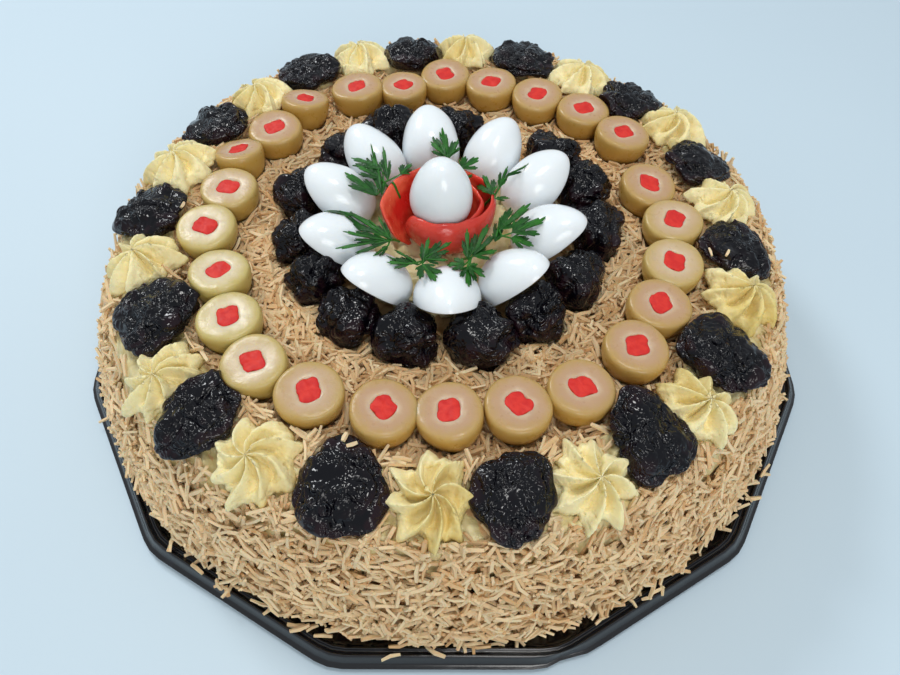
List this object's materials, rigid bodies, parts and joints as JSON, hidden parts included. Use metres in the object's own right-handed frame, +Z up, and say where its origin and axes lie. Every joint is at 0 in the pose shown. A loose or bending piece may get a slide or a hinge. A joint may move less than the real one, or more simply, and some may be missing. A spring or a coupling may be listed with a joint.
{
  "type": "savory cake",
  "caption": "Round savory cake coated in potato sticks, topped with rings of prunes, piped rosettes, olives and egg petals round a tomato rose, on a twelve-sided black tray.",
  "frame": {"origin": "centre of the tray's flat underside", "axes": "+Z up, -Y towards the side that faces the viewer, +X to that viewer's right"},
  "size_m": [0.3, 0.3, 0.096],
  "materials": {
    "tray_plastic": "glossy black moulded plastic",
    "potato_sticks": "dry golden fried potato sticks",
    "cream": "piped pale yellow mash",
    "olive": "moist pinkish olive flesh with olive-yellow skin",
    "pimento": "moist red pepper filling",
    "prune": "glossy wrinkled near-black fruit",
    "egg_white": "smooth moist boiled egg white",
    "tomato": "moist red tomato peel",
    "parsley": "fresh green leaf"
  },
  "bodies": {
    "root": {"tray": "tray_plastic", "cake": "potato_sticks", "cream_bed": "cream", "centre_egg": "egg_white", "tomato_rose": "tomato", "outer_prune_01": "prune", "rosette_01": "cream", "outer_prune_02": "prune", "rosette_02": "cream", "outer_prune_03": "prune", "rosette_03": "cream", "outer_prune_04": "prune", "rosette_04": "cream", "outer_prune_05": "prune", "rosette_05": "cream", "outer_prune_06": "prune", "rosette_06": "cream", "outer_prune_07": "prune", "rosette_07": "cream", "outer_prune_08": "prune", "rosette_08": "cream", "outer_prune_09": "prune", "rosette_09": "cream", "outer_prune_10": "prune", "rosette_10": "cream", "outer_prune_11": "prune", "rosette_11": "cream", "outer_prune_12": "prune", "rosette_12": "cream", "outer_prune_13": "prune", "rosette_13": "cream", "outer_prune_14": "prune", "rosette_14": "cream", "egg_petal_01": "egg_white", "egg_petal_02": "egg_white", "egg_petal_03": "egg_white", "egg_petal_04": "egg_white", "egg_petal_05": "egg_white", "egg_petal_06": "egg_white", "egg_petal_07": "egg_white", "egg_petal_08": "egg_white", "egg_petal_09": "egg_white", "egg_petal_10": "egg_white", "olives_1": "olive", "inner_prunes_1": "prune", "olives_2": "olive", "inner_prunes_2": "prune", "olives_3": "olive", "inner_prunes_3": "prune", "olives_4": "olive", "inner_prunes_4": "prune", "olives_5": "olive", "inner_prunes_5": "prune", "parsley_1": "parsley", "parsley_2": "parsley", "parsley_3": "parsley", "parsley_4": "parsley", "parsley_5": "parsley", "parsley_6": "parsley", "parsley_7": "parsley"}
  },
  "joints": []
}
